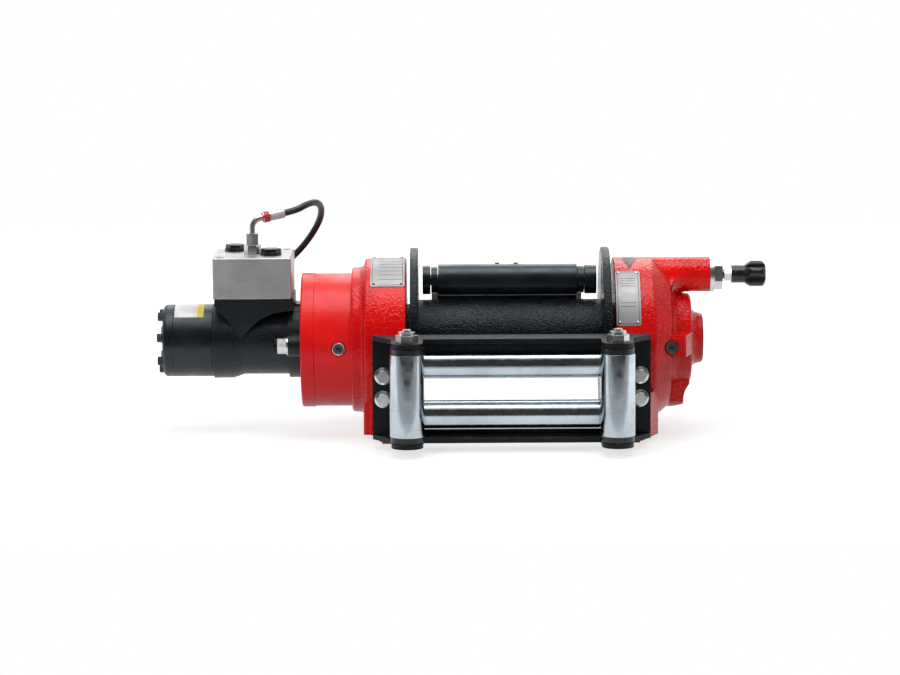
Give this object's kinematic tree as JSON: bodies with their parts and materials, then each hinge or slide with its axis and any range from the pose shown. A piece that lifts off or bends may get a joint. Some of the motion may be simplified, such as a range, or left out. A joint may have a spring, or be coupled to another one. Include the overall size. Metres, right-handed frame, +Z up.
{
  "type": "hydraulic recovery winch",
  "caption": "Hydraulic rope winch: orbital motor with valve block, planetary gear case, flanged drum between cast housings, roller fairlead, press roller and pull-out clutch knob.",
  "frame": {"origin": "middle of the foot bolt pattern, on the plane of the feet, under the middle of the drum", "axes": "+X along the drum axis from the motor to the clutch knob, +Y away from the fairlead, +Z up"},
  "size_m": [0.7751, 0.3605, 0.2955],
  "materials": {
    "red_cast_paint": "glossy paint over cast iron",
    "red_smooth_paint": "smooth satin paint",
    "black_cast_paint": "pebbled black paint",
    "black_smooth_paint": "smooth satin black",
    "black_iron": "black painted casting",
    "dark_steel": "blackened steel",
    "zinc_bolt": "zinc plated",
    "zinc_roller": "zinc plated tube",
    "block_aluminium": "machined aluminium",
    "black_plastic": "moulded",
    "hose_rubber": "smooth rubber cover",
    "brass_tip": "brass"
  },
  "bodies": {
    "root": {"brake_hose": "hose_rubber", "case_plugs": "dark_steel", "clutch_gland": "zinc_bolt", "cross_roller_shafts": "zinc_bolt", "fairlead_ears": "black_smooth_paint", "fairlead_plate": "black_smooth_paint", "fairlead_plate_bolts": "zinc_bolt", "fairlead_side_lugs": "black_smooth_paint", "gear_case_cover": "red_smooth_paint", "left_housing": "red_cast_paint", "motor_casting": "black_iron", "motor_cover_bolts": "dark_steel", "motor_end_cover": "black_smooth_paint", "motor_flange_bolts": "zinc_bolt", "motor_gerotor_section": "black_smooth_paint", "press_pivot_rod": "dark_steel", "rear_hose_adapter": "zinc_bolt", "rear_hose_elbow": "zinc_bolt", "rear_tie_bar": "black_smooth_paint", "right_housing": "red_cast_paint", "ring_gear_case": "red_smooth_paint", "top_hose_adapter": "zinc_bolt", "top_hose_elbow": "zinc_bolt", "valve_block": "block_aluminium", "valve_port_plugs": "black_plastic", "vertical_roller_bolts": "zinc_bolt"},
    "drum": {"drum_barrel": "black_cast_paint", "drum_left_flange": "black_cast_paint", "drum_right_flange": "black_cast_paint"},
    "fairlead_left": {"left_roller": "zinc_roller", "left_roller_bushes": "black_plastic"},
    "fairlead_right": {"right_roller": "zinc_roller", "right_roller_bushes": "black_plastic"},
    "fairlead_upper": {"upper_roller": "zinc_roller", "upper_roller_bushes": "black_plastic"},
    "fairlead_lower": {"lower_roller": "zinc_roller", "lower_roller_bushes": "black_plastic"},
    "press_arms": {"press_arm_left": "black_smooth_paint", "press_arm_right": "black_smooth_paint", "press_hub_tube": "black_smooth_paint", "press_cross_bar": "black_smooth_paint", "press_screws": "brass_tip"},
    "press_roller_set": {"press_roller": "black_smooth_paint", "press_axle": "dark_steel", "press_end_rollers": "black_smooth_paint"},
    "clutch": {"clutch_plunger": "dark_steel", "clutch_lock_nut": "zinc_bolt", "clutch_knob": "black_plastic"}
  },
  "joints": [
    {"name": "drum_spin", "type": "hinge", "parent": "root", "child": "drum", "pos_m": [0, 0, 0.1185], "axis": [1, 0, 0], "continuous": true},
    {"name": "left_roller_spin", "type": "hinge", "parent": "root", "child": "fairlead_left", "pos_m": [-0.1294, -0.194, 0.077], "axis": [0, 0, 1], "continuous": true},
    {"name": "right_roller_spin", "type": "hinge", "parent": "root", "child": "fairlead_right", "pos_m": [0.1294, -0.194, 0.077], "axis": [0, 0, 1], "continuous": true},
    {"name": "upper_roller_spin", "type": "hinge", "parent": "root", "child": "fairlead_upper", "pos_m": [0, -0.151, 0.1082], "axis": [1, 0, 0], "continuous": true},
    {"name": "lower_roller_spin", "type": "hinge", "parent": "root", "child": "fairlead_lower", "pos_m": [0, -0.151, 0.0458], "axis": [1, 0, 0], "continuous": true},
    {"name": "press_arm_swing", "type": "hinge", "parent": "root", "child": "press_arms", "pos_m": [0, 0.13, 0.1385], "axis": [-1, 0, 0], "range_deg": [0, 30], "stiffness_Nm_per_rad": 6, "springref_deg": -17.19},
    {"name": "press_roller_spin", "type": "hinge", "parent": "press_arms", "child": "press_roller_set", "pos_m": [0, 0.0107, 0.19324], "axis": [1, 0, 0], "continuous": true},
    {"name": "clutch_pull", "type": "slide", "parent": "root", "child": "clutch", "axis": [1, 0, 0], "range_m": [0, 0.012], "stiffness_N_per_m": 1500, "springref_m": -0.01}
  ]
}
